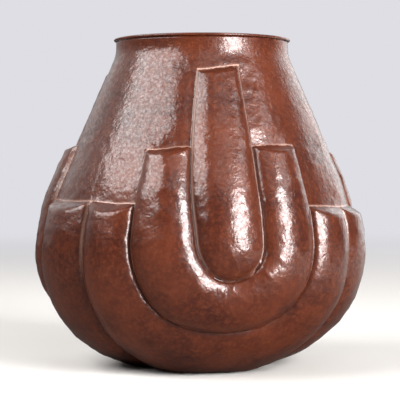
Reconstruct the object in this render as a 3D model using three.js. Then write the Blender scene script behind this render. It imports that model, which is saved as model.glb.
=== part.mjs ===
// A raised copper pot: one hammered shell with three groups of nested, chased lobes, and a wire round its lip.
// Millimetres, +Z up, origin at the centre of the foot. One group of lobes faces -Y.
import * as THREE from "three";

// The plain shell before chasing, measured on its outside.
const HEIGHT = 178;
const WALL = 1.2;
const COLLAR_RADIUS = 46.9;
const COLLAR_HEIGHT = 9;
const CONE_ANGLE = 23.4; // degrees from upright
const CONE_DROP = 45; // how far down the straight cone runs from the collar
const BELLY_RADIUS = 84.2;
const BELLY_LEVEL = 61.4; // the widest ring's height over the foot
const UNDERSIDE_DEPTH = 62.5; // a little more than the belly's level, so the foot is hammered flat
const SHOULDER_FULLNESS = 0.52; // the curve's two handles, as shares of the way to where
const BELLY_FULLNESS = 1.03; // the cone's line meets the upright line over the belly

// The lip: a round wire in a seat drawn in at the collar's top edge.
const LIP_WIRE_DIAMETER = 1.4;
const LIP_SEAT_DEPTH = 0.5;
const LIP_SEAT_CLEARANCE = 0.3;
const LIP_SEAT_LENGTH = 2.1;
const LIP_WIRE_SET_DOWN = 0.2; // the wire's top under the collar's top edge

// The chased lobes. Each group has a tongue, a second U round it and a third U round that.
const GROUPS = 3;
const TONGUE_HALF_ANGLE = 12.5;
const SECOND_U_HALF_ANGLE = 34;
const LOBE_RELIEF = 6; // how far a lobe's crest stands out of the plain shell
const RELIEF_TAPER = 0.8; // how fast the relief falls where the shell narrows
const LOBE_FULLNESS = 0.7; // section of a lobe, between a half ellipse at 0.5 and a parabola at 1
const BEND_CENTRE_OVER_BELLY = 8.6; // the level that the U bends turn round
const TONGUE_END_DROP = 9.7; // the tongue's end under the collar's foot
const SECOND_END_DROP = 40.8; // the second U's ends under the tongue's end
const THIRD_END_DROP = 29.8; // the third U's ends under the second's
const END_RAMP_DROP = 5.2; // height of the ramp at each end
const END_RAMP_SLOPE = 1; // its rise for each millimetre along the skin
const FOOT_SPREAD = 14; // the lobes fade out this far from the foot's centre
const FOOT_BLEND = 7;
const GROUP_LEAN = 1.25; // degrees: the lobe groups' ends sit lower towards +X

// How finely the shell is divided.
const TONGUE_COLUMNS = 3;
const SECOND_COLUMNS = 6;
const THIRD_COLUMNS = 6;
const UNDERSIDE_ROWS = 12;
const WIRE_SECTION_POINTS = 10;

const HALF_GROUP_ANGLE = 180 / GROUPS;
const COLLAR_LEVEL = HEIGHT - COLLAR_HEIGHT;
const BEND_LEVEL = BELLY_LEVEL + BEND_CENTRE_OVER_BELLY;
const TONGUE_END = COLLAR_LEVEL - TONGUE_END_DROP;
const SECOND_END = TONGUE_END - SECOND_END_DROP;
const THIRD_END = SECOND_END - THIRD_END_DROP;
const LIP_SEAT_RADIUS = COLLAR_RADIUS - LIP_SEAT_DEPTH;
const COLUMNS = TONGUE_COLUMNS + SECOND_COLUMNS + THIRD_COLUMNS;

const copper = { color: 0x7d4634, roughness: 0.35, metalness: 0.85 };
const wornCopper = { color: 0x96614a, roughness: 0.4, metalness: 0.9 };

// The plain shell's outline, from the foot's centre up to the collar: x is the radius, y the height.
function plainOutline() {
  const lean = THREE.MathUtils.degToRad(CONE_ANGLE);
  const kneeRadius = COLLAR_RADIUS + CONE_DROP * Math.tan(lean);
  const knee = new THREE.Vector2(kneeRadius, COLLAR_LEVEL - CONE_DROP);
  const belly = new THREE.Vector2(BELLY_RADIUS, BELLY_LEVEL);
  const meeting = new THREE.Vector2(BELLY_RADIUS, knee.y - (BELLY_RADIUS - knee.x) / Math.tan(lean));
  const outline = new THREE.CurvePath();
  const underside = [0, BELLY_LEVEL, BELLY_RADIUS, UNDERSIDE_DEPTH, -Math.PI / 2, 0];
  outline.add(new THREE.EllipseCurve(...underside));
  const overBelly = belly.clone().lerp(meeting, BELLY_FULLNESS);
  const underKnee = knee.clone().lerp(meeting, SHOULDER_FULLNESS);
  outline.add(new THREE.CubicBezierCurve(belly, overBelly, underKnee, knee));
  outline.add(new THREE.LineCurve(knee, new THREE.Vector2(COLLAR_RADIUS, COLLAR_LEVEL)));
  return outline;
}

const outline = plainOutline();
const outlineLength = outline.getLength();

// The distance along the outline, from the foot's centre, at which it reaches a level.
function runAtLevel(level) {
  let low = 0;
  let high = outlineLength;
  while (high - low > 0.001) {
    const middle = (low + high) / 2;
    if (outline.getPoint(middle / outlineLength).y < level) low = middle;
    else high = middle;
  }
  return low;
}

// The outline's point and its outward normal at a distance along it.
function skinAt(run) {
  const share = THREE.MathUtils.clamp(run / outlineLength, 0, 1);
  const point = outline.getPoint(share);
  const along = outline.getTangent(share);
  const normal = share > 0 ? new THREE.Vector2(along.y, -along.x) : new THREE.Vector2(0, -1);
  return { point, normal };
}

const BEND_RUN = runAtLevel(BEND_LEVEL);
const BEND_RADIUS = skinAt(BEND_RUN).point.x;

// The height of a lobe's section between its two creases, as a share of the crest.
function lobeSection(fromInner, fromOuter) {
  const width = fromInner + fromOuter;
  if (fromInner <= 0 || fromOuter <= 0) return 0;
  const place = (fromInner - fromOuter) / width;
  return (1 - place * place) ** LOBE_FULLNESS;
}

// The smaller of two distances, rounded over where they are alike.
function softMinimum(a, b, blend) {
  const share = THREE.MathUtils.clamp(0.5 + (b - a) / (2 * blend), 0, 1);
  return b + (a - b) * share - blend * share * (1 - share);
}

// How far the chased skin stands out of the plain one, at an angle from its group's centre line and at a
// distance along the outline. Over the bend level the creases are upright. Under it they turn as half circles.
function reliefAt(angle, run) {
  const radius = skinAt(run).point.x;
  const perDegree = THREE.MathUtils.degToRad(run < BEND_RUN ? BEND_RADIUS : radius);
  const across = THREE.MathUtils.degToRad(Math.abs(angle)) * radius;
  const under = Math.max(0, BEND_RUN - run);
  const reach = Math.hypot(across, under);
  const tongueEdge = TONGUE_HALF_ANGLE * perDegree;
  const secondEdge = SECOND_U_HALF_ANGLE * perDegree;
  const crest = LOBE_RELIEF * (under > 0 ? 1 : (radius / BEND_RADIUS) ** RELIEF_TAPER);
  if (reach < tongueEdge)
    return Math.min(crest * lobeSection(tongueEdge + reach, tongueEdge - reach), endRamp(TONGUE_END, run));
  if (reach < secondEdge)
    return Math.min(crest * lobeSection(reach - tongueEdge, secondEdge - reach), endRamp(SECOND_END, run));
  const toNeighbour = THREE.MathUtils.degToRad(HALF_GROUP_ANGLE - Math.abs(angle)) * radius;
  const toFoot = run - FOOT_SPREAD;
  const toOutside = softMinimum(toNeighbour, toFoot, FOOT_BLEND);
  return Math.min(crest * lobeSection(reach - secondEdge, toOutside), endRamp(THIRD_END, run));
}

// The most that a lobe can stand out near its flat-topped end.
function endRamp(endLevel, run) {
  return Math.max(0, END_RAMP_SLOPE * (runAtLevel(endLevel) - run));
}

// The angle of each column of the shell. Columns lie on the upright creases.
function columnAngles() {
  const half = [];
  const spans = [
    [0, TONGUE_HALF_ANGLE, TONGUE_COLUMNS],
    [TONGUE_HALF_ANGLE, SECOND_U_HALF_ANGLE, SECOND_COLUMNS],
    [SECOND_U_HALF_ANGLE, HALF_GROUP_ANGLE, THIRD_COLUMNS],
  ];
  for (const [from, to, count] of spans)
    for (let step = 0; step < count; step++) half.push(from + ((to - from) * step) / count);
  const group = [...half, HALF_GROUP_ANGLE, ...half.slice(1).reverse().map((angle) => -angle)];
  const angles = [];
  for (let turn = 0; turn < GROUPS; turn++)
    for (const inGroup of group) angles.push({ inGroup, around: inGroup + 2 * HALF_GROUP_ANGLE * turn });
  for (const angle of angles) if (angle.around < 0) angle.around += 360;
  return orderAround(angles);
}

function orderAround(angles) {
  const ordered = [...angles].sort((a, b) => a.around - b.around);
  const wrapped = ordered.filter(({ around }, place) => place === 0 || around > ordered[place - 1].around);
  return [...wrapped, { ...wrapped[0], around: wrapped[0].around + 360 }];
}

function spread(from, to, count) {
  return Array.from({ length: count }, (_, step) => from + ((to - from) * step) / count);
}

// The distances along the outline at which the shell has rows. The ramps' two edges each have one.
function rowRuns() {
  const ramps = [THIRD_END, SECOND_END, TONGUE_END];
  const [third, second, tongue] = ramps.map((end) => [runAtLevel(end - END_RAMP_DROP), runAtLevel(end)]);
  return [
    ...spread(0, runAtLevel(BELLY_LEVEL), UNDERSIDE_ROWS),
    ...spread(runAtLevel(BELLY_LEVEL), third[0], 2),
    third[0],
    ...spread(third[1], second[0], 3),
    second[0],
    ...spread(second[1], tongue[0], 4),
    tongue[0],
    ...spread(tongue[1], outlineLength, 2),
    outlineLength,
  ];
}

// The lip's seat and flat top edge, outside then inside, as radius and height.
function lipEdge() {
  const seatFoot = HEIGHT - LIP_SEAT_LENGTH;
  const insideRadius = LIP_SEAT_RADIUS - WALL;
  return [
    [COLLAR_RADIUS, seatFoot],
    [LIP_SEAT_RADIUS, seatFoot],
    [LIP_SEAT_RADIUS, HEIGHT],
    [insideRadius, HEIGHT],
    [insideRadius, seatFoot - WALL],
    [COLLAR_RADIUS - WALL, seatFoot - WALL],
  ];
}

// A point of the chased skin, set in by a wall's thickness for the inside. The foot is flat.
function chasedPoint(column, run, inset) {
  const sideways = Math.sin(THREE.MathUtils.degToRad(column.around)) * skinAt(run).point.x;
  const held = THREE.MathUtils.smoothstep(run, BEND_RUN * 0.4, BEND_RUN);
  const free = 1 - THREE.MathUtils.smoothstep(run, runAtLevel(TONGUE_END), outlineLength);
  const shift = -Math.tan(THREE.MathUtils.degToRad(GROUP_LEAN)) * sideways * held * free;
  const { point, normal } = skinAt(run + shift);
  const out = reliefAt(column.inGroup, run) - inset;
  const radius = Math.max(0, point.x + normal.x * out);
  const level = Math.max(inset, point.y + normal.y * out);
  return [radius, level];
}

function bodyGeometry() {
  const columns = columnAngles();
  const runs = rowRuns();
  const edge = lipEdge();
  const rows = [
    ...runs.map((run) => (column) => chasedPoint(column, run, 0)),
    ...edge.map((place) => () => place),
    ...runs.toReversed().map((run) => (column) => chasedPoint(column, run, WALL)),
  ];
  const outlinePoints = rows.map((row) => new THREE.Vector2(...row(columns[0])));
  const geometry = new THREE.LatheGeometry(outlinePoints, columns.length - 1);
  const position = geometry.getAttribute("position");
  columns.forEach((column, across) => {
    const around = THREE.MathUtils.degToRad(column.around % 360);
    rows.forEach((row, up) => {
      const [radius, level] = row(column);
      const vertex = across * rows.length + up;
      position.setXYZ(vertex, radius * Math.sin(around), level, radius * Math.cos(around));
    });
  });
  return standUp(geometry);
}

function lipWireGeometry() {
  const wireRadius = LIP_WIRE_DIAMETER / 2;
  const ringRadius = LIP_SEAT_RADIUS + LIP_SEAT_CLEARANCE + wireRadius;
  const level = HEIGHT - LIP_WIRE_SET_DOWN - wireRadius;
  const section = [];
  for (let step = 0; step <= WIRE_SECTION_POINTS; step++) {
    const turn = ((step % WIRE_SECTION_POINTS) / WIRE_SECTION_POINTS) * 2 * Math.PI;
    const point = new THREE.Vector2(Math.cos(turn), Math.sin(turn));
    section.push(point.multiplyScalar(wireRadius).add(new THREE.Vector2(ringRadius, level)));
  }
  return standUp(new THREE.LatheGeometry(section, 2 * COLUMNS * GROUPS));
}

// A lathe turns its outline round Y. This stands it on Z.
function standUp(geometry) {
  geometry.rotateX(Math.PI / 2);
  geometry.computeVertexNormals();
  return geometry;
}

function piece(name, geometry, finish) {
  const mesh = new THREE.Mesh(geometry, new THREE.MeshStandardMaterial(finish));
  mesh.name = name;
  return mesh;
}

const pot = new THREE.Group();
pot.add(piece("pot_body", bodyGeometry(), copper));
pot.add(piece("lip_wire", lipWireGeometry(), wornCopper));

export default pot;
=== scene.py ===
"""A raised copper pot with chased lobes, on a pale floor in soft studio light."""

import math

import bmesh
import bpy
import numpy as np
from mathutils import Matrix, Vector, kdtree


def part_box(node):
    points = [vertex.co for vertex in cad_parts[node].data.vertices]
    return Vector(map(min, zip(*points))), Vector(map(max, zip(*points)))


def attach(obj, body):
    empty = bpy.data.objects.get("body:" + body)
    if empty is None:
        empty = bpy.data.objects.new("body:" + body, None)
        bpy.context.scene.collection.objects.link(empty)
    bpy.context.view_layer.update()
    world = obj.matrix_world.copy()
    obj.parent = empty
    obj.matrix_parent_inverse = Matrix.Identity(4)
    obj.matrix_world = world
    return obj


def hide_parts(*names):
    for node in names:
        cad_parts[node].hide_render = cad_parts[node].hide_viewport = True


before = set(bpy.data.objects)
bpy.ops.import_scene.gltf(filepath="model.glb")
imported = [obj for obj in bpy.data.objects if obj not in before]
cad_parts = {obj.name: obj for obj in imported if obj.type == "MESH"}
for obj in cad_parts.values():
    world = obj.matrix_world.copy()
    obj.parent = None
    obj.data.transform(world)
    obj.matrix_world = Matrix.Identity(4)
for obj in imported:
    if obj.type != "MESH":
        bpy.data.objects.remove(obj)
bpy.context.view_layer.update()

MM = 0.001  # the shell is worked in millimetres and brought to metres at the end

# The studio. Angles are in degrees, sizes and distances in metres.
BACKDROP = "DEDEE4"
ROOM_IN_FRONT = "464344"
ROOM_BEHIND = "FFFFFF"
CAMERA_AZIMUTH = -9.5  # from straight in front of a lobe group
CAMERA_PITCH = -1.48
CAMERA_DISTANCE = 0.85
CAMERA_LEVEL = 0.112
CAMERA_LENS = 139.5
LIGHT_DISTANCE = 1.3
# Each light: azimuth from the camera's, elevation, width, height, radiance, share for matt surfaces, shape.
LIGHTS = {
    "window": (-67, 40, 1.3, 0.72, 7.2, 0.4, "RECTANGLE"),
    "fill": (42, 17, 0.66, 0.84, 26, 0.66, "ELLIPSE"),
    "reflector": (140, 12, 0.9, 0.8, 1.3, 1, "RECTANGLE"),
    "second_window": (66, 36, 0.55, 0.3, 3.5, 0.4, "RECTANGLE"),
    "ceiling": (18, 46, 0.8, 0.45, 1.2, 0.3, "RECTANGLE"),
}

# The plain shell before chasing, as the solid model has it.
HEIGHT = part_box("pot_body")[1][2] / MM
WALL = 1.2
COLLAR_RADIUS = 46.9
COLLAR_HEIGHT = 9
COLLAR_FILLET = 4  # how far the turn from cone to collar reaches, each way
CONE_ANGLE = math.radians(23.4)
CONE_DROP = 45
BELLY_RADIUS = 84.2
BELLY_LEVEL = 61.4
UNDERSIDE_DEPTH = 62.5
SHOULDER_FULLNESS = 0.52
BELLY_FULLNESS = 1.03
COLLAR_LEVEL = HEIGHT - COLLAR_HEIGHT

# The lip's wire, and the seat for it in the collar's edge.
WIRE_LOW, WIRE_HIGH = (corner / MM for corner in map(Vector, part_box("lip_wire")))
WIRE_RADIUS = (WIRE_HIGH.z - WIRE_LOW.z) / 2
WIRE_RING_RADIUS = WIRE_HIGH.y - WIRE_RADIUS
WIRE_LEVEL = (WIRE_HIGH.z + WIRE_LOW.z) / 2
SEAT_LENGTH = 2.1
SEAT_DEPTH = 0.5
SEAT_FOOT = HEIGHT - SEAT_LENGTH
SEAT_RADIUS = COLLAR_RADIUS - SEAT_DEPTH
EDGE_ROUNDING = 0.3
BRAZE_BITE = 0.02  # the bead is flattened just inside the seat's radius

# The lobes. Angles are in degrees from the middle of a group.
GROUPS = 3
HALF_GROUP = 180 / GROUPS
TONGUE_EDGE = 12.5
SECOND_EDGE = 34  # also where the third U starts
LOBE_RELIEF = 6
RELIEF_TAPER = 0.8
LOBE_FULLNESS = 0.7
BEND_CENTRE_OVER_BELLY = 8.6
TONGUE_END_DROP, SECOND_END_DROP, THIRD_END_DROP = 9.7, 40.8, 29.8
BEND_LEVEL = BELLY_LEVEL + BEND_CENTRE_OVER_BELLY
TONGUE_END = COLLAR_LEVEL - TONGUE_END_DROP
SECOND_END = TONGUE_END - SECOND_END_DROP
THIRD_END = SECOND_END - THIRD_END_DROP
END_RAMP_SLOPE = 1
END_ROUNDING = 0.35
FOOT_SPREAD = 14
FOOT_BLEND = 7
GROUP_LEAN = math.radians(1.25)
CREASE_DEPTH = 0.45  # how far the chasing tool sinks a crease under the plain shell
CREASE_WIDTH = 0.9
TROUGH_DEPTH = 0.7  # how far the cone is drawn in beside the tongue
TROUGH_WIDTH = 6
END_DIP_DEPTH = 1.0  # how far the skin is drawn in over the ends of the tongue and the second U
END_DIP_WIDTH = 7.5
THIRD_END_DIP_SHARE = 0.4
TONGUE_DIP_FADE, SECOND_DIP_FADE = 6, 12
TROUGH_FADE_BELOW, TROUGH_FADE_OVER = 8, 2  # from the tongue's end

# What the hand left uneven: angle and level of its middle, how many degrees and millimetres it spreads,
# then how far it moves the chasing to the right and up, in millimetres.
HAND_SHIFTS = (
    (-60, 70, 14, 300, 7.2, 0),
    (60, 70, 14, 300, -6.6, 0),
    (-12.5, 122, 9, 28, -2.3, 0),
    (-12.5, 60, 9, 28, 3.0, 0),
    (-12, 159, 9, 14, 0, -1.4),
    (12, 159, 9, 14, 0, 1.0),
    (-32, 119, 10, 14, 0, -2.6),
    (28, 119, 14, 14, 0, 1.4),
)
COLLAR_OFF_CENTRE = 1.1  # how far the collar sits to the right of the foot's middle
OFF_CENTRE_FROM, OFF_CENTRE_TO = 50, 140
LEAN_FROM = 0.4  # share of the way from the foot to the bend
LEAN_END_DROP = 2
EVEN_FOOT, EVEN_LIP_FROM, EVEN_LIP_TO = 30, 160, 220  # distances along the outline

# How finely the shell is divided: about 1.2 mm a face outside. The inside's rows are about 6 mm apart.
TONGUE_COLUMNS = 16
SECOND_COLUMNS = 28
THIRD_COLUMNS = 28
COLUMNS = TONGUE_COLUMNS + SECOND_COLUMNS + THIRD_COLUMNS
BEND_STEPS = 132
ROW_HEIGHT = 1.15
GATHERING = 0.5
THIRD_BEND_DRAW = 0.55  # how far the third U's bend is drawn towards the second U straight under it
INSIDE_ROWS = 38
INSIDE_TOP_DROP = 4  # the inside's first row, under the lip's seat

# The planishing hammer's marks on the outside.
BLOWS = 7000  # about 4 mm apart
BLOW_HOLLOW = 0.014
BLOW_TILT = 0.015
SMOOTH_UNDER_LIP = 5
SMOOTH_BY_CREASE = 2.5

# Slow unevenness: how far in millimetres, over what length, and its seed.
WANDER_UP = (0.35, 45, 3)
WANDER_AROUND = (0.5, 60, 5)
WANDER_OUT = (0.25, 38, 7)
WANDER_OF_BLOWS = (0.03, 13, 13)

# Painted shade in the creases and a painted highlight line beside the creases and the lobes' edges, in
# millimetres from a crease or a lobe's edge.
PAINTED_SHADE_WIDTH = 0.8
PAINTED_SHADE_SHARE = 0.5
PAINTED_HIGHLIGHT_OFFSET = 0.6
PAINTED_HIGHLIGHT_WIDTH = 0.45
# The painted highlight line shows only above these levels and is stronger at the tongue.
PAINTED_HIGHLIGHT_FROM_LEVEL, PAINTED_HIGHLIGHT_TO_LEVEL = 45, 75
PAINTED_HIGHLIGHT_SHARE, PAINTED_HIGHLIGHT_MORE_AT_TONGUE = 0.5, 0.4


def outline_points():
    """The plain shell's outline, from the foot's centre to the lip's seat: radius and level."""
    knee = np.array((COLLAR_RADIUS + CONE_DROP * math.tan(CONE_ANGLE), COLLAR_LEVEL - CONE_DROP))
    belly = np.array((BELLY_RADIUS, BELLY_LEVEL))
    meeting = np.array((BELLY_RADIUS, knee[1] - (BELLY_RADIUS - knee[0]) / math.tan(CONE_ANGLE)))
    collar_foot = np.array((COLLAR_RADIUS, COLLAR_LEVEL))
    under_collar = collar_foot + COLLAR_FILLET * np.array((math.sin(CONE_ANGLE), -math.cos(CONE_ANGLE)))
    over_foot = collar_foot + np.array((0, COLLAR_FILLET))
    turn = np.radians(np.linspace(-90, 0, 300))[:, None]
    underside = np.hstack((BELLY_RADIUS * np.cos(turn), BELLY_LEVEL + UNDERSIDE_DEPTH * np.sin(turn)))
    t = np.linspace(0, 1, 200)[1:, None]
    over_belly = belly + (meeting - belly) * BELLY_FULLNESS
    under_knee = knee + (meeting - knee) * SHOULDER_FULLNESS
    shoulder = (1 - t) ** 3 * belly + 3 * (1 - t) ** 2 * t * over_belly
    shoulder = shoulder + 3 * (1 - t) * t**2 * under_knee + t**3 * knee
    cone = knee + (under_collar - knee) * t
    fillet = (1 - t) ** 2 * under_collar + 2 * (1 - t) * t * collar_foot + t**2 * over_foot
    seat_foot = np.array(((COLLAR_RADIUS, SEAT_FOOT),))
    return np.vstack((underside, shoulder, cone, fillet, seat_foot))


OUTLINE = outline_points()
RUNS = np.concatenate(((0,), np.cumsum(np.hypot(*np.diff(OUTLINE, axis=0).T))))
SLOPES = np.gradient(OUTLINE, RUNS, axis=0)


def skin_at(run):
    """The plain shell at distances along its outline: radius, level, and the outward normal's two parts."""
    radius, level = (np.interp(run, RUNS, OUTLINE[:, part]) for part in (0, 1))
    outward, upward = (np.interp(run, RUNS, SLOPES[:, part]) for part in (0, 1))
    length = np.hypot(outward, upward)
    return radius, level, upward / length, -outward / length


def run_at(level):
    return float(np.interp(level, OUTLINE[:, 1], RUNS))


BEND_RUN = run_at(BEND_LEVEL)
BEND_RADIUS = float(skin_at(BEND_RUN)[0])


def smooth_step(low, high, value):
    share = np.clip((value - low) / (high - low), 0, 1)
    return share * share * (3 - 2 * share)


def soft_minimum(a, b, blend):
    share = np.clip(0.5 + (b - a) / (2 * blend), 0, 1)
    return b + (a - b) * share - blend * share * (1 - share)


def waver(points, amount, wavelength, seed):
    """A smooth, irregular value about as high as the amount, for what a hand leaves uneven."""
    draw = np.random.default_rng(seed)
    directions = draw.normal(size=(3, 9))
    directions /= np.linalg.norm(directions, axis=0) / draw.uniform(0.6, 1.5, 9)
    phases = draw.uniform(0, 2 * math.pi, 9)
    waves = np.sin(points @ directions * (2 * math.pi / wavelength) + phases)
    return amount * (waves.sum(axis=1) / 3)


def lobes_at(angle, run):
    """What the chasing does at angles from a group's middle and distances along the outline.

    Gives how far the skin stands out, how far each point is from its lobe's nearest crease, and how far it is
    from its lobe's outer crease, or over its lobe's end.
    """
    radius = skin_at(run)[0]
    under = np.maximum(0, BEND_RUN - run)
    per_degree = np.radians(np.where(under > 0, BEND_RADIUS, radius))
    reach = np.hypot(np.radians(np.abs(angle)) * radius, under)
    tongue_edge = TONGUE_EDGE * per_degree
    second_edge = SECOND_EDGE * per_degree
    to_neighbour = np.radians(HALF_GROUP - np.abs(angle)) * radius
    to_outside = soft_minimum(to_neighbour, run - FOOT_SPREAD, FOOT_BLEND)
    in_tongue = reach < tongue_edge
    in_second = ~in_tongue & (reach < second_edge)
    inner = np.select((in_tongue, in_second), (tongue_edge + reach, reach - tongue_edge), reach - second_edge)
    outer = np.select((in_tongue, in_second), (tongue_edge - reach, second_edge - reach), to_outside)
    end = np.select((in_tongue, in_second), (run_at(TONGUE_END), run_at(SECOND_END)), run_at(THIRD_END))
    inner, outer = np.maximum(inner, 0), np.maximum(outer, 0)
    place = (inner - outer) / np.maximum(inner + outer, 1e-6)
    crest = LOBE_RELIEF * np.where(under > 0, 1, (radius / BEND_RADIUS) ** RELIEF_TAPER)
    pillow = crest * np.maximum(0, 1 - place**2) ** LOBE_FULLNESS
    ramp = END_RAMP_SLOPE * np.maximum(0, end - run)
    relief = np.maximum(0, soft_minimum(pillow, ramp, END_ROUNDING))
    to_crease = np.where(run < end, np.minimum(inner, outer), np.inf)
    relief -= CREASE_DEPTH * np.exp(-((to_crease / CREASE_WIDTH) ** 2))
    over_end = np.where(run >= end, run - end, np.inf)
    fades = (smooth_step(0, TONGUE_DIP_FADE, outer), smooth_step(0, SECOND_DIP_FADE, outer))
    across_end = np.select((in_tongue, in_second), fades, 1)
    drawn_in = END_DIP_DEPTH * np.where(in_second, 1, THIRD_END_DIP_SHARE)
    relief -= drawn_in * np.exp(-((over_end / END_DIP_WIDTH) ** 2)) * across_end
    beside = np.where(in_second & (run >= end), inner, np.inf)
    fade_from, fade_to = run_at(TONGUE_END) - TROUGH_FADE_BELOW, run_at(TONGUE_END) + TROUGH_FADE_OVER
    beside_tongue = 1 - smooth_step(fade_from, fade_to, run)
    relief -= TROUGH_DEPTH * np.exp(-((beside / TROUGH_WIDTH) ** 2)) * beside_tongue
    to_edge = np.where(run < end, outer, run - end)
    return relief, to_crease, to_edge


def in_group(around):
    """Angles round the pot as angles from the nearest group's middle."""
    return (around + HALF_GROUP) % (2 * HALF_GROUP) - HALF_GROUP


def raised(around, run, inset):
    """Where points of the flat disc end up when the pot is raised and chased, in millimetres."""
    radians = np.radians(around)
    radius = skin_at(run)[0]
    flat_place = np.column_stack((radius * np.sin(radians), radius * np.cos(radians), run))
    lean_held = smooth_step(BEND_RUN * LEAN_FROM, BEND_RUN, run)
    lean_held *= 1 - smooth_step(run_at(TONGUE_END), run_at(COLLAR_LEVEL - LEAN_END_DROP), run)
    shift = -math.tan(GROUP_LEAN) * np.sin(radians) * radius * lean_held
    shift += waver(flat_place, *WANDER_UP) * lean_held
    radians = radians + waver(flat_place, *WANDER_AROUND) / BELLY_RADIUS * lean_held
    plain_level = skin_at(run)[1]
    for middle, middle_level, degrees, tall, sideways, up in HAND_SHIFTS:
        away = (around - middle + 180) % 360 - 180
        share = np.exp(-((away / degrees) ** 2) - ((plain_level - middle_level) / tall) ** 2)
        radians = radians + sideways / BELLY_RADIUS * share
        shift += up * share
    radius, level, outward, upward = skin_at(run + shift)
    out = lobes_at(in_group(around), run)[0] - inset
    held = smooth_step(0, EVEN_FOOT, run) * (1 - smooth_step(EVEN_LIP_FROM, EVEN_LIP_TO, run))
    out += waver(flat_place, *WANDER_OUT) * held
    radius = np.maximum(0, radius + outward * out)
    level = np.maximum(inset, level + upward * out)
    return off_centre(np.column_stack((radius * np.sin(radians), -radius * np.cos(radians), level)))


def off_centre(points):
    """Moves points sideways, the more the higher they are, as far as the collar is off the foot's middle."""
    sideways = COLLAR_OFF_CENTRE * smooth_step(OFF_CENTRE_FROM, OFF_CENTRE_TO, points[:, 2])
    return points + sideways[:, None] * np.array((1, 0, 0))


def place_vertices(vertices, points):
    for vertex, point in zip(vertices, points.tolist()):
        vertex.co = point


def grid_rows():
    """Distances along the outline of the rows over the bend. The lobes' ends each have a row."""
    stops = [BEND_RUN, *(run_at(level) for level in (THIRD_END, SECOND_END, TONGUE_END)), RUNS[-1]]
    rows = [BEND_RUN]
    for low, high in zip(stops, stops[1:]):
        shares = gathered(np.linspace(0, 1, round((high - low) / ROW_HEIGHT) + 1)[1:])
        rows.extend(low + (high - low) * shares)
    return rows


def group_sheet(rows):
    """One lobe group as a flat sheet, a unit between columns: upright ones, then half circles under them."""
    sheet = bmesh.new()
    bmesh.ops.create_grid(sheet, x_segments=2 * COLUMNS, y_segments=len(rows) - 1, size=1)
    bmesh.ops.translate(sheet, verts=sheet.verts, vec=(0, 1, 0))
    bmesh.ops.scale(sheet, verts=sheet.verts, vec=(COLUMNS, (len(rows) - 1) / 2, 1))
    low_right = [v for v in sheet.verts if abs(v.co.y) < 0.01 and v.co.x > -0.01]
    low_edges = [e for e in sheet.edges if all(v in low_right for v in e.verts)]
    bend = {"cent": (0, 0, 0), "axis": (0, 0, 1), "angle": -math.pi, "steps": BEND_STEPS}
    bmesh.ops.spin(sheet, geom=low_right + low_edges, **bend)
    bmesh.ops.remove_doubles(sheet, verts=sheet.verts, dist=0.001)
    return sheet


def gathered(share):
    """Draws even shares of a span towards its two ends, where the creases need finer faces."""
    return share - GATHERING * np.sin(2 * math.pi * share) / (2 * math.pi)


def column_angle(column):
    """The angle of a column. Creases lie on columns."""
    in_tongue = 2 * gathered((column / TONGUE_COLUMNS + 1) / 2) - 1
    in_second = gathered((column - TONGUE_COLUMNS) / SECOND_COLUMNS)
    in_third = gathered((column - TONGUE_COLUMNS - SECOND_COLUMNS) / THIRD_COLUMNS)
    angles = (TONGUE_EDGE * in_tongue, TONGUE_EDGE + (SECOND_EDGE - TONGUE_EDGE) * in_second)
    last = SECOND_EDGE + (HALF_GROUP - SECOND_EDGE) * in_third
    return np.select((column < TONGUE_COLUMNS, column < TONGUE_COLUMNS + SECOND_COLUMNS), angles, last)


def third_u_place(turn, reach):
    """Places in the third U's bend, between the second U's half circle and the neighbours' boundaries."""
    share = gathered((reach - TONGUE_COLUMNS - SECOND_COLUMNS) / THIRD_COLUMNS)
    straight_down = np.cos(turn)
    share = share - THIRD_BEND_DRAW * straight_down * share * (1 - share)
    circle = SECOND_EDGE * math.radians(BEND_RADIUS)
    inner_run = BEND_RUN - circle * straight_down
    inner_angle = circle * np.sin(turn) / skin_at(inner_run)[0]
    outer_run = BEND_RUN * np.abs(turn) / (math.pi / 2)
    outer_angle = np.sign(turn) * math.radians(HALF_GROUP)
    across = inner_run * np.sin(inner_angle) * (1 - share) + outer_run * np.sin(outer_angle) * share
    down = inner_run * np.cos(inner_angle) * (1 - share) + outer_run * np.cos(outer_angle) * share
    level_with_arms = 1 - smooth_step(0, 0.5, straight_down)
    run = np.hypot(across, down)
    run += (inner_run + (outer_run - inner_run) * share - run) * level_with_arms
    angle = np.arctan2(across, down)
    angle += (inner_angle + (outer_angle - inner_angle) * share - angle) * level_with_arms
    return np.degrees(angle), run


def sheet_to_disc(sheet, rows):
    """Moves the sheet's vertices to their places in the flat disc that the pot is raised from."""
    x, y = np.array([v.co.xy for v in sheet.verts]).T
    reach, turn = np.hypot(x, y), np.arctan2(x, -y)
    arc = np.radians(column_angle(reach)) * BEND_RADIUS
    bend_run = BEND_RUN - arc * np.cos(turn)
    bend_angle = np.degrees(arc * np.sin(turn) / skin_at(bend_run)[0])
    third_angle, third_run = third_u_place(turn, reach)
    in_third = reach > TONGUE_COLUMNS + SECOND_COLUMNS
    over = y > -0.001
    run = np.where(over, np.interp(y, range(len(rows)), rows), np.where(in_third, third_run, bend_run))
    angle = np.where(over, np.sign(x) * column_angle(np.abs(x)), np.where(in_third, third_angle, bend_angle))
    radians = np.radians(angle)
    place_vertices(sheet.verts, np.column_stack((run * np.sin(radians), -run * np.cos(radians), 0 * run)))


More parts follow.
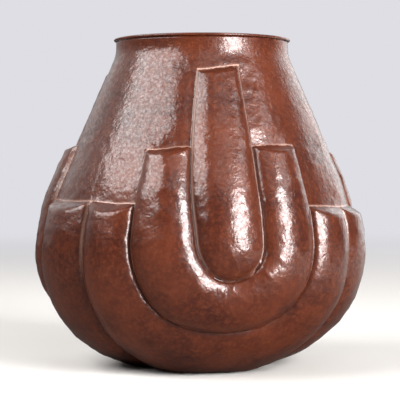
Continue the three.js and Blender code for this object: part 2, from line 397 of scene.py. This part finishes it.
def copper_disc():
    """The whole outside as a flat disc, with every crease on a line of edges."""
    rows = grid_rows()
    disc = group_sheet(rows)
    sheet_to_disc(disc, rows)
    group = disc.verts[:] + disc.edges[:] + disc.faces[:]
    for turn in range(1, GROUPS):
        copy = bmesh.ops.duplicate(disc, geom=group)["geom"]
        copied = [item for item in copy if isinstance(item, bmesh.types.BMVert)]
        spin = {"cent": (0, 0, 0), "matrix": turning(2 * HALF_GROUP * turn)}
        bmesh.ops.rotate(disc, verts=copied, **spin)
    bmesh.ops.remove_doubles(disc, verts=disc.verts, dist=0.005)
    return disc


def turning(degrees, axis="Z"):
    return Matrix.Rotation(math.radians(degrees), 3, axis)


def rim_edges(shell):
    return [edge for edge in shell.edges if edge.is_boundary]


def add_ring(shell, ring, place):
    """Extrudes an open edge loop. Its new vertices go where place says, by their angles round the pot."""
    new = bmesh.ops.extrude_edge_only(shell, edges=ring)["geom"]
    vertices = [item for item in new if isinstance(item, bmesh.types.BMVert)]
    around = np.array([vertex[shell.verts.layers.float["around"]] for vertex in vertices])
    points, run = place(around)
    place_vertices(vertices, points)
    for vertex in vertices:
        vertex[shell.verts.layers.float["run"]] = run
    return [item for item in new if isinstance(item, bmesh.types.BMEdge) and item.is_boundary], vertices


def ring_at(radius, level):
    def place(around):
        radians = np.radians(around)
        flat = 0 * around + level
        ring = np.column_stack((radius * np.sin(radians), -radius * np.cos(radians), flat))
        return off_centre(ring), RUNS[-1]

    return place


def inside_ring(run):
    def place(around):
        return raised(around, 0 * around + run, WALL), -run

    return place


# The lip's edge, outside to inside: radius and level.
LIP_EDGE = (
    (SEAT_RADIUS + 0.15, SEAT_FOOT + 0.25),
    (SEAT_RADIUS, SEAT_FOOT + 1),
    (SEAT_RADIUS - 0.05, HEIGHT - EDGE_ROUNDING),
    (SEAT_RADIUS - EDGE_ROUNDING, HEIGHT),
    (SEAT_RADIUS - WALL + EDGE_ROUNDING, HEIGHT),
    (SEAT_RADIUS - WALL, HEIGHT - EDGE_ROUNDING),
    (SEAT_RADIUS - WALL + 0.1, SEAT_FOOT),
    (COLLAR_RADIUS - WALL, SEAT_FOOT - 1.5),
)


def raised_shell():
    """The shell, outside and inside, with the lip's edge between them. Closed, in millimetres."""
    shell = copper_disc()
    x, y = np.array([v.co.xy for v in shell.verts]).T
    run, around = np.hypot(x, y), np.degrees(np.arctan2(x, -y)) % 360
    run_layer = shell.verts.layers.float.new("run")
    around_layer = shell.verts.layers.float.new("around")
    for vertex, one_run, one_around in zip(shell.verts, run.tolist(), around.tolist()):
        vertex[run_layer] = one_run
        vertex[around_layer] = one_around
    place_vertices(shell.verts, raised(around, run, 0))
    ring = rim_edges(shell)
    for radius, level in LIP_EDGE:
        ring, last = add_ring(shell, ring, ring_at(radius, level))
    for run in np.linspace(run_at(SEAT_FOOT - INSIDE_TOP_DROP), 0, INSIDE_ROWS):
        ring, last = add_ring(shell, ring, inside_ring(run))
    bmesh.ops.pointmerge(shell, verts=last, merge_co=(0, 0, WALL))
    bmesh.ops.recalc_face_normals(shell, faces=shell.faces)
    return shell


def finished_piece(name, shape, *materials):
    """A mesh object in metres, smooth, at the origin."""
    bmesh.ops.scale(shape, verts=shape.verts, vec=(MM, MM, MM))
    mesh = bpy.data.meshes.new(name)
    shape.to_mesh(mesh)
    shape.free()
    mesh.shade_smooth()
    piece = bpy.data.objects.new(name, mesh)
    bpy.context.scene.collection.objects.link(piece)
    for material in materials:
        mesh.materials.append(material)
    return piece


def hammer(shell):
    """Sinks planishing marks into the shell's outside: shallow dishes, each struck at its own slight tilt."""
    shell.normal_update()
    run_layer, around_layer = (shell.verts.layers.float[name] for name in ("run", "around"))
    outside = [vertex for vertex in shell.verts if vertex[run_layer] > 0]
    points = np.array([vertex.co for vertex in outside])
    draw = np.random.default_rng(11)
    ring_lengths = np.cumsum(OUTLINE[:, 0])
    runs = np.interp(draw.uniform(0, ring_lengths[-1], BLOWS), ring_lengths, RUNS)
    blows = raised(draw.uniform(0, 360, BLOWS), runs, 0)
    tree = kdtree.KDTree(len(blows))
    for index, blow in enumerate(blows.tolist()):
        tree.insert(blow, index)
    tree.balance()
    found = [tree.find(vertex.co) for vertex in outside]
    struck = [hit[1] for hit in found]
    distance = np.array([hit[2] for hit in found])
    tilt = draw.normal(size=(len(blows), 3))[struck] * BLOW_TILT
    depth = BLOW_HOLLOW * distance**2 + (tilt * (points - blows[struck])).sum(axis=1)
    depth += waver(points, *WANDER_OF_BLOWS)
    runs, around = (np.array([vertex[layer] for vertex in outside]) for layer in (run_layer, around_layer))
    depth *= 1 - smooth_step(run_at(SEAT_FOOT) - SMOOTH_UNDER_LIP, run_at(SEAT_FOOT), runs)
    depth *= smooth_step(0, SMOOTH_BY_CREASE, lobes_at(in_group(around), runs)[1])
    for vertex, rise in zip(outside, depth.tolist()):
        vertex.co += vertex.normal * rise
        vertex.co.z = max(0, vertex.co.z)


def linear(hex_colour):
    """A linear colour from an sRGB hex value."""
    parts = [int(hex_colour[start : start + 2], 16) / 255 for start in (0, 2, 4)]
    return (*(part / 12.92 if part <= 0.04045 else ((part + 0.055) / 1.055) ** 2.4 for part in parts), 1)


def add(tree, kind, inputs=None, **settings):
    """Adds a shader node. An input is a value, or another node's output to link."""
    node = tree.nodes.new(kind)
    for name, value in settings.items():
        setattr(node, name, value)
    for socket, value in (inputs or {}).items():
        if isinstance(value, bpy.types.NodeSocket):
            tree.links.new(value, node.inputs[socket])
        else:
            node.inputs[socket].default_value = value
    return node


def new_material(name):
    material = bpy.data.materials.new(name)
    material.use_nodes = True
    material.node_tree.nodes.clear()
    return material, material.node_tree


def per_metre(size_mm):
    """The texture scale at which one feature is this wide."""
    return 1 / (size_mm * MM)


def waxed_patina_copper():
    """Planished copper, heated to a red-brown oxide and waxed: dark warm brown under a clear, broken gloss,
    with painted shade in the creases and a painted highlight line beside them.
    """
    material, tree = new_material("waxed_patina_copper")
    place = add(tree, "ShaderNodeTexCoord").outputs["Object"]
    colours = {"data_type": "RGBA"}

    # Clouds the torch leaves, and the oxide's mottling, drawn coarser than it is so that it shows.
    clouds = {"Vector": place, "Scale": per_metre(30), "Detail": 6, "Roughness": 0.65}
    clouds = add(tree, "ShaderNodeTexNoise", clouds).outputs[0]
    grain = {"Vector": place, "Scale": per_metre(2.2), "Detail": 5, "Roughness": 0.7}
    grain = add(tree, "ShaderNodeTexNoise", grain).outputs[0]
    clouded = add(tree, "ShaderNodeMapRange", {"Value": clouds, "From Min": 0.35, "From Max": 0.65}).outputs[0]
    mottled = add(tree, "ShaderNodeMapRange", {"Value": grain, "From Min": 0.45, "From Max": 0.8}).outputs[0]
    oxide = {0: clouded, 6: linear("34130C"), 7: linear("572614")}
    oxide = add(tree, "ShaderNodeMix", oxide, **colours).outputs[2]
    warm = add(tree, "ShaderNodeMix", {0: mottled, 6: oxide, 7: linear("64311B")}, **colours).outputs[2]
    # A painted highlight: a pale line beside the creases and along the lobes' edges, where light catches them.
    painted_highlight_line = add(tree, "ShaderNodeAttribute", attribute_name="painted_highlight_line").outputs["Fac"]
    with_painted_highlight = add(tree, "ShaderNodeMix", {0: painted_highlight_line, 6: warm, 7: linear("CCA494")}, **colours).outputs[2]
    # Painted shade: the creases are darkened towards a near-black brown.
    painted_crease_shade = add(tree, "ShaderNodeAttribute", attribute_name="painted_crease_shade").outputs["Fac"]
    colour = add(tree, "ShaderNodeMix", {0: painted_crease_shade, 6: with_painted_highlight, 7: linear("200D08")}, **colours).outputs[2]

    # The hammer's facets, and the small dents within them, drawn coarser than they are.
    facets = {"Vector": place, "Scale": per_metre(3.4), "Detail": 1, "Roughness": 0.5, "Distortion": 0.8}
    facets = add(tree, "ShaderNodeTexNoise", facets).outputs[0]
    dents = add(tree, "ShaderNodeTexNoise", {"Vector": place, "Scale": per_metre(1.4), "Detail": 1}).outputs[0]
    planished = {"Height": facets, "Distance": 0.15 * MM, "Strength": 1}
    planished = add(tree, "ShaderNodeBump", planished).outputs[0]
    surface = {"Height": dents, "Distance": 0.07 * MM, "Strength": 1, "Normal": planished}
    surface = add(tree, "ShaderNodeBump", surface).outputs[0]
    roughness = add(tree, "ShaderNodeMapRange", {"Value": clouds, "To Min": 0.26, "To Max": 0.38}).outputs[0]

    # The wax: thin in small patches, thinner on the lines between hammer marks, and dulled in the creases as
    # painted shade.
    patches = {"Vector": place, "Scale": per_metre(1.7), "Detail": 4, "Roughness": 0.7}
    patches = add(tree, "ShaderNodeTexNoise", patches).outputs[0]
    wax = {"Value": patches, "From Min": 0.42, "From Max": 0.6, "To Min": 0.3}
    wax = add(tree, "ShaderNodeMapRange", wax).outputs[0]
    wander = add(tree, "ShaderNodeTexNoise", {"Vector": place, "Scale": per_metre(3), "Detail": 2})
    wandered = {0: wander.outputs["Color"], 1: (2.5 * MM,) * 3, 2: place}
    wandered = add(tree, "ShaderNodeVectorMath", wandered, operation="MULTIPLY_ADD").outputs[0]
    marks = {"Vector": wandered, "Scale": per_metre(2.7)}
    marks = add(tree, "ShaderNodeTexVoronoi", marks, feature="DISTANCE_TO_EDGE").outputs["Distance"]
    on_marks = add(tree, "ShaderNodeMapRange", {"Value": marks, "From Max": 0.2, "To Min": 0.5}).outputs[0]
    worn = add(tree, "ShaderNodeMath", {0: wax, 1: on_marks}, operation="MULTIPLY").outputs[0]
    coat_dulled_for_shade = add(tree, "ShaderNodeMapRange", {"Value": painted_crease_shade, "To Min": 1, "To Max": 0.2}).outputs[0]
    coat = add(tree, "ShaderNodeMath", {0: worn, 1: coat_dulled_for_shade}, operation="MULTIPLY").outputs[0]

    shader = add(
        tree,
        "ShaderNodeBsdfPrincipled",
        {
            "Base Color": colour,
            "Metallic": 0.12,
            "Specular IOR Level": 0.3,
            "Roughness": roughness,
            "Normal": surface,
            "Coat Weight": coat,
            "Coat Roughness": 0.17,
            "Coat IOR": 1.55,
            "Coat Normal": surface,
        },
    )
    add(tree, "ShaderNodeOutputMaterial", {"Surface": shader.outputs[0]})
    return material


def pale_floor():
    """Matt pale card that runs out into the backdrop's own colour far from the pot. In the pot's reflections
    it is painted dark as painted shade, and paler towards the right as painted light.
    """
    material, tree = new_material("pale_floor")
    place = add(tree, "ShaderNodeTexCoord").outputs["Object"]
    distance = add(tree, "ShaderNodeVectorMath", {0: place}, operation="LENGTH").outputs["Value"]
    far = {"Value": distance, "From Min": 0.35, "From Max": 1.6}
    far = add(tree, "ShaderNodeMapRange", far, interpolation_type="SMOOTHSTEP").outputs[0]
    ray = add(tree, "ShaderNodeLightPath").outputs
    share = add(tree, "ShaderNodeMath", {0: far, 1: ray["Is Camera Ray"]}, operation="MULTIPLY")
    sides = add(tree, "ShaderNodeSeparateXYZ", {0: place})
    # Glossy rays see the card painted: dark as painted shade, paler to the right as painted light.
    right = {"Value": sides.outputs["X"], "From Min": 0.05, "From Max": 0.4}
    right = add(tree, "ShaderNodeMapRange", right).outputs[0]
    painted_floor_reflection = {0: right, 6: linear("5A5654"), 7: linear("C4C0BC")}
    painted_floor_reflection = add(tree, "ShaderNodeMix", painted_floor_reflection, data_type="RGBA").outputs[2]
    shade = {0: ray["Is Glossy Ray"], 6: linear("E6E3DF"), 7: painted_floor_reflection}
    shade = add(tree, "ShaderNodeMix", shade, data_type="RGBA").outputs[2]
    card = add(tree, "ShaderNodeBsdfDiffuse", {"Color": shade})
    backdrop = add(tree, "ShaderNodeEmission", {"Color": linear(BACKDROP), "Strength": 1})
    both = add(tree, "ShaderNodeMixShader", {0: share.outputs[0], 1: card.outputs[0], 2: backdrop.outputs[0]})
    add(tree, "ShaderNodeOutputMaterial", {"Surface": both.outputs[0]})
    return material


def add_attributes(piece):
    """Stores painted shade, deep in the creases, and a painted highlight line beside them."""
    mesh = piece.data
    run, around = (np.zeros(len(mesh.vertices)) for _ in range(2))
    mesh.attributes["run"].data.foreach_get("value", run)
    mesh.attributes["around"].data.foreach_get("value", around)
    places = np.zeros(3 * len(mesh.vertices))
    mesh.vertices.foreach_get("co", places)
    to_crease, to_edge = lobes_at(in_group(around), np.abs(run))[1:]
    # Painted shade, deepest right on the creases.
    painted_crease_shade = np.exp(-((to_crease / PAINTED_SHADE_WIDTH) ** 2)) * PAINTED_SHADE_SHARE
    at_tongue = 1 - smooth_step(TONGUE_EDGE + 0.5, TONGUE_EDGE + 1.5, np.abs(in_group(around)))
    # A painted highlight line just off each crease and lobe edge, only above a level and stronger at the
    # tongue.
    painted_highlight_line = np.exp(-(((to_edge - PAINTED_HIGHLIGHT_OFFSET) / PAINTED_HIGHLIGHT_WIDTH) ** 2))
    painted_highlight_line *= smooth_step(PAINTED_HIGHLIGHT_FROM_LEVEL, PAINTED_HIGHLIGHT_TO_LEVEL, places[2::3] / MM)
    painted_highlight_line *= PAINTED_HIGHLIGHT_SHARE + PAINTED_HIGHLIGHT_MORE_AT_TONGUE * at_tongue
    for name, value in (("painted_crease_shade", painted_crease_shade), ("painted_highlight_line", painted_highlight_line)):
        mesh.attributes.new(name, "FLOAT", "POINT").data.foreach_set("value", value)


def lip_bead():
    """The wire ring, flattened a little where it is brazed to the collar's seat."""
    bead = bmesh.new()
    bmesh.ops.create_circle(bead, segments=16, radius=WIRE_RADIUS)
    upright = {"cent": (0, 0, 0), "matrix": turning(90, "X")}
    bmesh.ops.rotate(bead, verts=bead.verts, **upright)
    bmesh.ops.translate(bead, verts=bead.verts, vec=(WIRE_RING_RADIUS, 0, WIRE_LEVEL))
    for vertex in bead.verts:
        vertex.co.x = max(vertex.co.x, SEAT_RADIUS - BRAZE_BITE)
    section = bead.verts[:] + bead.edges[:]
    turn = {"cent": (0, 0, 0), "axis": (0, 0, 1), "angle": 2 * math.pi, "steps": 300, "use_merge": True}
    bmesh.ops.spin(bead, geom=section, **turn)
    bmesh.ops.remove_doubles(bead, verts=bead.verts, dist=0.001)
    bmesh.ops.recalc_face_normals(bead, faces=bead.faces)
    bmesh.ops.translate(bead, verts=bead.verts, vec=(COLLAR_OFF_CENTRE, 0, 0))
    return bead


def add_camera():
    """A long lens at about the shoulder's level, turned off the front lobe group's middle."""
    azimuth, pitch = math.radians(CAMERA_AZIMUTH), math.radians(CAMERA_PITCH)
    camera = bpy.data.objects.new("camera", bpy.data.cameras.new("camera"))
    camera.data.lens = CAMERA_LENS
    across, back = math.sin(azimuth) * CAMERA_DISTANCE, math.cos(azimuth) * CAMERA_DISTANCE
    camera.location = (across, -back, CAMERA_LEVEL)
    camera.rotation_euler = (math.pi / 2 + pitch, 0, azimuth)
    bpy.context.scene.collection.objects.link(camera)
    bpy.context.scene.camera = camera


def add_softbox(name, azimuth, elevation, width, height, radiance, diffuse, shape):
    """An area light that faces the pot, at an azimuth from the camera's and an elevation."""
    a, e = math.radians(azimuth + CAMERA_AZIMUTH), math.radians(elevation)
    target = Vector((0, 0, HEIGHT * MM / 2))
    back = Vector((math.sin(a) * math.cos(e), -math.cos(a) * math.cos(e), math.sin(e)))
    light = bpy.data.lights.new(name, "AREA")
    light.shape = shape
    light.size, light.size_y = width, height
    area = width * height * (math.pi / 4 if shape == "ELLIPSE" else 1)
    light.energy = radiance * area * math.pi
    light.diffuse_factor = diffuse
    lamp = bpy.data.objects.new(name, light)
    lamp.visible_camera = False
    lamp.location = target + back * LIGHT_DISTANCE
    lamp.rotation_euler = back.to_track_quat("Z", "Y").to_euler()
    bpy.context.scene.collection.objects.link(lamp)


def add_world():
    """A pale backdrop to the eye. What lights the pot is pale behind it and dim in front, as in a room."""
    world = bpy.data.worlds.new("studio")
    world.use_nodes = True
    tree = world.node_tree
    tree.nodes.clear()
    direction = add(tree, "ShaderNodeTexCoord").outputs["Generated"]
    parts = add(tree, "ShaderNodeSeparateXYZ", {0: direction})
    behind = {"Value": parts.outputs["Y"], "From Min": 0.1, "From Max": 0.9}
    behind = add(tree, "ShaderNodeMapRange", behind).outputs[0]
    over_table = {"Value": parts.outputs["Z"], "From Min": -0.05, "From Max": 0.3}
    over_table = add(tree, "ShaderNodeMapRange", over_table).outputs[0]
    pale = add(tree, "ShaderNodeMath", {0: behind, 1: over_table}, operation="MULTIPLY").outputs[0]
    surround = {0: pale, 6: linear(ROOM_IN_FRONT), 7: linear(ROOM_BEHIND)}
    surround = add(tree, "ShaderNodeMix", surround, data_type="RGBA").outputs[2]
    by_eye = add(tree, "ShaderNodeLightPath").outputs["Is Camera Ray"]
    seen = {0: by_eye, 6: surround, 7: linear(BACKDROP)}
    seen = add(tree, "ShaderNodeMix", seen, data_type="RGBA").outputs[2]
    background = add(tree, "ShaderNodeBackground", {"Color": seen, "Strength": 1})
    add(tree, "ShaderNodeOutputWorld", {"Surface": background.outputs[0]})
    bpy.context.scene.world = world


def add_studio():
    floor = bmesh.new()
    bmesh.ops.create_circle(floor, cap_ends=True, segments=64, radius=8000)
    piece = finished_piece("floor", floor, pale_floor())
    add_world()
    for name, light in LIGHTS.items():
        add_softbox(name, *light)


add_camera()
shell = raised_shell()
hammer(shell)
copper = waxed_patina_copper()
body = finished_piece("pot_shell", shell, copper)
add_attributes(body)
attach(body, "root")
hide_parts("pot_body")

bead = finished_piece("lip_bead", lip_bead(), copper)
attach(bead, "root")
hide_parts("lip_wire")

add_studio()
bpy.context.scene.view_settings.view_transform = "Standard"
